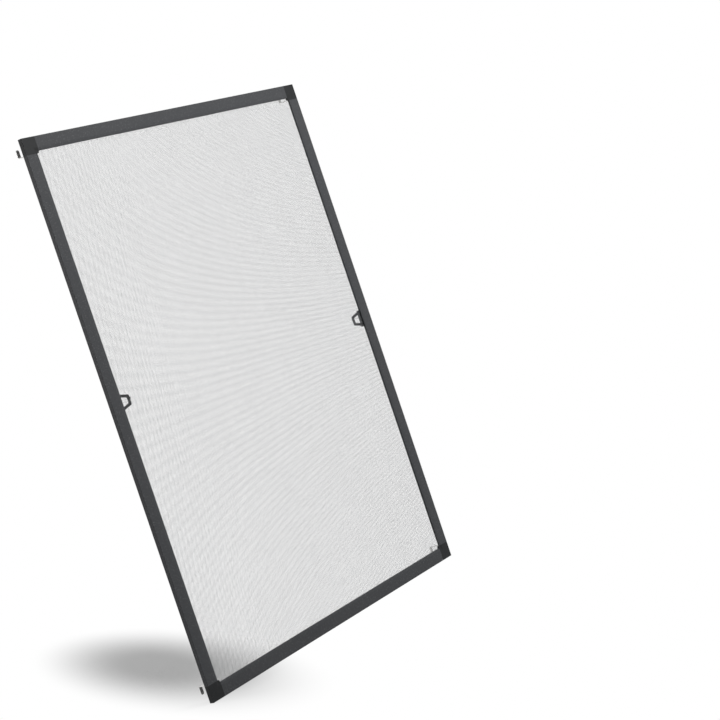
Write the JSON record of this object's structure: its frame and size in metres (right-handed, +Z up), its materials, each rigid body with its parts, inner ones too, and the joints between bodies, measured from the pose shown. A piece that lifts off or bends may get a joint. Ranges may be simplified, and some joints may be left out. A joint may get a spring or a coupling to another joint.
{
  "type": "window screen frame",
  "caption": "Rectangular insect screen in a slim rail frame with moulded corners, pull loops and bent strip hooks that hang it on the outside of a window.",
  "frame": {"origin": "middle of the frame, in the plane of the room-side faces that meet the window", "axes": "+Z up, X along the width, +Y into the room: the hooks point to +Y and the weather face looks to -Y"},
  "size_m": [0.74, 0.034, 1],
  "materials": {
    "powder_coated_aluminium": "fine textured anthracite powder coat",
    "moulded_nylon": "matte moulded",
    "spring_steel": "satin",
    "pvc_cord": "matte",
    "coated_fibreglass": "plain woven, PVC coated",
    "moulded_pull": "matte moulded"
  },
  "bodies": {
    "root": {"rail_left": "powder_coated_aluminium", "rail_right": "powder_coated_aluminium", "rail_top": "powder_coated_aluminium", "rail_bottom": "powder_coated_aluminium", "corner_bottom_left": "moulded_nylon", "corner_bottom_right": "moulded_nylon", "corner_top_left": "moulded_nylon", "corner_top_right": "moulded_nylon", "hook_bottom_left": "spring_steel", "hook_bottom_right": "spring_steel", "hook_top_left": "spring_steel", "hook_top_right": "spring_steel", "cord_left": "pvc_cord", "cord_right": "pvc_cord", "cord_top": "pvc_cord", "cord_bottom": "pvc_cord", "screen_cloth": "coated_fibreglass", "pull_left": "moulded_pull", "pull_right": "moulded_pull"}
  },
  "joints": []
}
